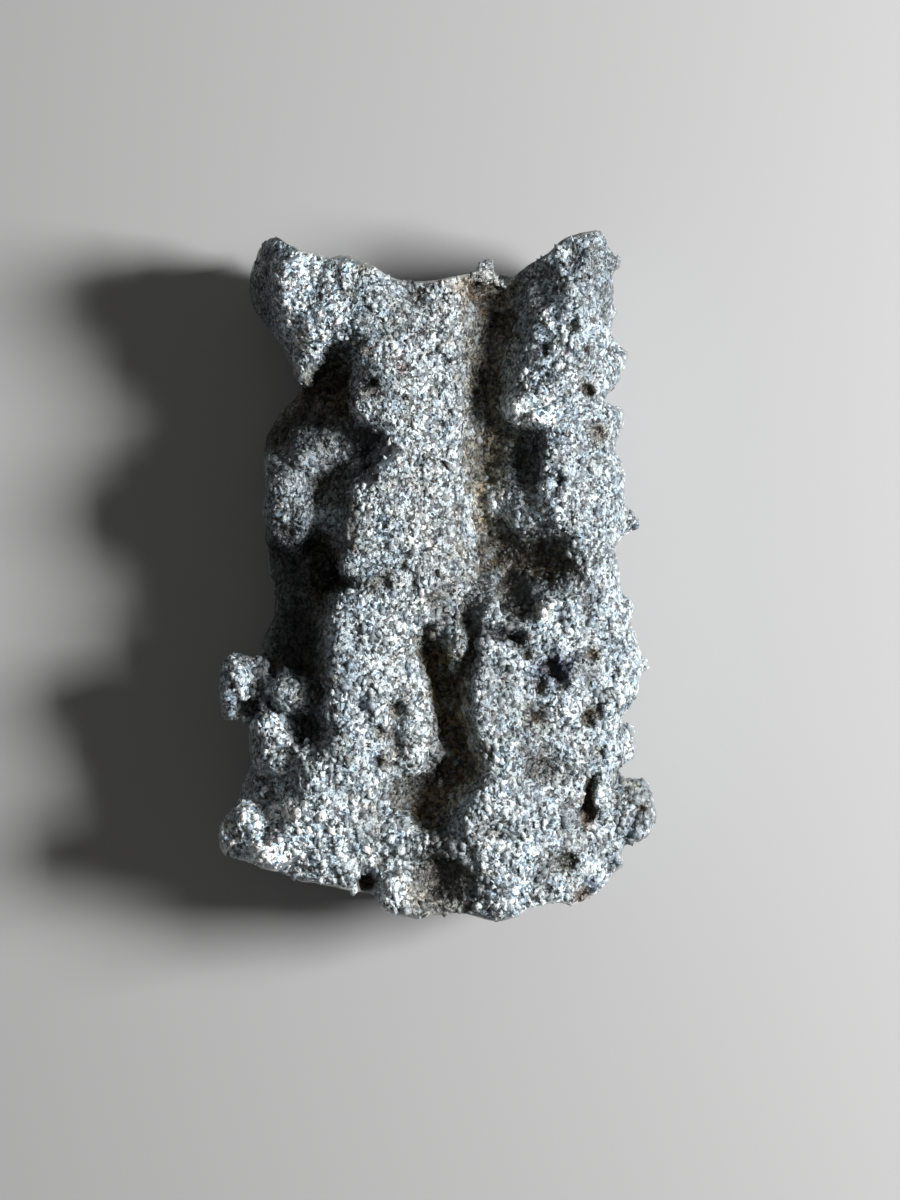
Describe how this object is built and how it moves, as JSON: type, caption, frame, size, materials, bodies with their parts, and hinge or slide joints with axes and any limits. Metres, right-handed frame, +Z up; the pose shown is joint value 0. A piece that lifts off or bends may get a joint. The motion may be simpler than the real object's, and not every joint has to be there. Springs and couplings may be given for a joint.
{
  "type": "fulgurite",
  "caption": "Broken length of sand fulgurite: a flattened, ridged and pitted tube of fused glass crusted with pale quartz grains, lying on its back.",
  "frame": {"origin": "under the middle of the outline, on the surface that the piece rests on", "axes": "+X across the piece, +Y along the tube, +Z up from the resting flats to the ridged front"},
  "size_m": [0.0308, 0.048, 0.0135],
  "materials": {
    "crust_glass": "rough fused quartz sand with glassy gaps"
  },
  "bodies": {
    "root": {"fulgurite": "crust_glass"}
  },
  "joints": []
}
